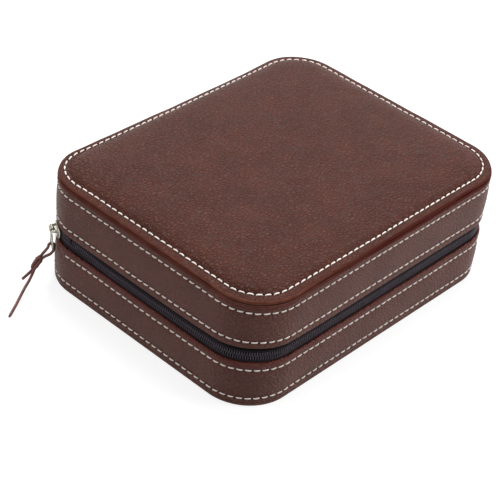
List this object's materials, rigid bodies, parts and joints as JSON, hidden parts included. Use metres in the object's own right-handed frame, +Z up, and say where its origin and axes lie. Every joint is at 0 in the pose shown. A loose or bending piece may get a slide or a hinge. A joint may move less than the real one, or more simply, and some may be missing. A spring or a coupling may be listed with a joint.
{
  "type": "watch travel case",
  "caption": "Zip-up leather travel case with rounded corners, a padded lid on a leather hinge, lined compartments and removable watch pillows.",
  "frame": {"origin": "middle of the flat face on which the case rests", "axes": "+X along the hinge side, +Y from the front wall to the hinge wall, +Z up"},
  "size_m": [0.2377, 0.1596, 0.0713],
  "materials": {
    "brown_leather": "dark brown grained leather with a soft sheen",
    "edge_leather": "red-brown burnished edge of the leather plies",
    "board": "stiff fibreboard inside the walls",
    "suede_lining": "tan suede cloth",
    "pillow_suede": "tan suede cloth over foam",
    "foam": "foam sheet inside the lid's top",
    "zip_tape": "black woven tape",
    "zip_coil": "black nylon coil",
    "zip_metal": "pale plated metal",
    "thong_leather": "red-brown leather lace"
  },
  "bodies": {
    "base": {"base_bottom_leather": "brown_leather", "base_floor_board": "board", "base_wall_board": "board", "base_wall_leather": "brown_leather", "base_lining": "suede_lining", "divider_long": "suede_lining", "divider_cross": "suede_lining", "hinge_spine": "brown_leather", "zip_tape_lower": "zip_tape", "zip_coil_lower": "zip_coil", "zip_stop_lower": "zip_metal", "zip_tape_corner": "zip_tape", "zip_coil_corner": "zip_coil", "zip_end_stop": "zip_metal"},
    "lid": {"lid_wall_board": "board", "lid_wall_leather": "brown_leather", "lid_top_board": "board", "lid_welt": "edge_leather", "lid_top_pad": "foam", "lid_top_leather": "brown_leather", "lid_lining": "suede_lining", "lid_inner_pad": "suede_lining", "zip_tape_upper": "zip_tape", "zip_coil_upper": "zip_coil", "zip_stop_upper": "zip_metal"},
    "slider": {"zip_slider": "zip_metal"},
    "pull": {"slider_pull": "zip_metal", "thong_bight": "thong_leather", "thong_lace_short": "thong_leather", "thong_lace_long": "thong_leather", "thong_knot": "thong_leather"},
    "pillow_front_left": {"pillow_front_left": "pillow_suede"},
    "pillow_front_right": {"pillow_front_right": "pillow_suede"},
    "pillow_back_left": {"pillow_back_left": "pillow_suede"},
    "pillow_back_right": {"pillow_back_right": "pillow_suede"}
  },
  "joints": [
    {"name": "lid_hinge", "type": "hinge", "parent": "base", "child": "lid", "pos_m": [0, 0.0795, 0.03225], "axis": [-1, 0, 0], "range_deg": [0, 120], "deforming": ["hinge_spine"]},
    {"name": "slider_travel", "type": "hinge", "parent": "base", "child": "slider", "pos_m": [-0.073, 0.0525, 0.03225], "axis": [0, 0, 1], "range_deg": [-21, 18]},
    {"name": "pull_swing", "type": "hinge", "parent": "slider", "child": "pull", "pos_m": [-0.09889, 0.06745, 0.0335], "axis": [0.5, 0.866, 0], "range_deg": [0, 120]},
    {"name": "pillow_lift_front_left", "type": "slide", "parent": "base", "child": "pillow_front_left", "axis": [0, 0, 1], "range_m": [0, 0.014]},
    {"name": "pillow_lift_front_right", "type": "slide", "parent": "base", "child": "pillow_front_right", "axis": [0, 0, 1], "range_m": [0, 0.014]},
    {"name": "pillow_lift_back_left", "type": "slide", "parent": "base", "child": "pillow_back_left", "axis": [0, 0, 1], "range_m": [0, 0.014]},
    {"name": "pillow_lift_back_right", "type": "slide", "parent": "base", "child": "pillow_back_right", "axis": [0, 0, 1], "range_m": [0, 0.014]}
  ]
}
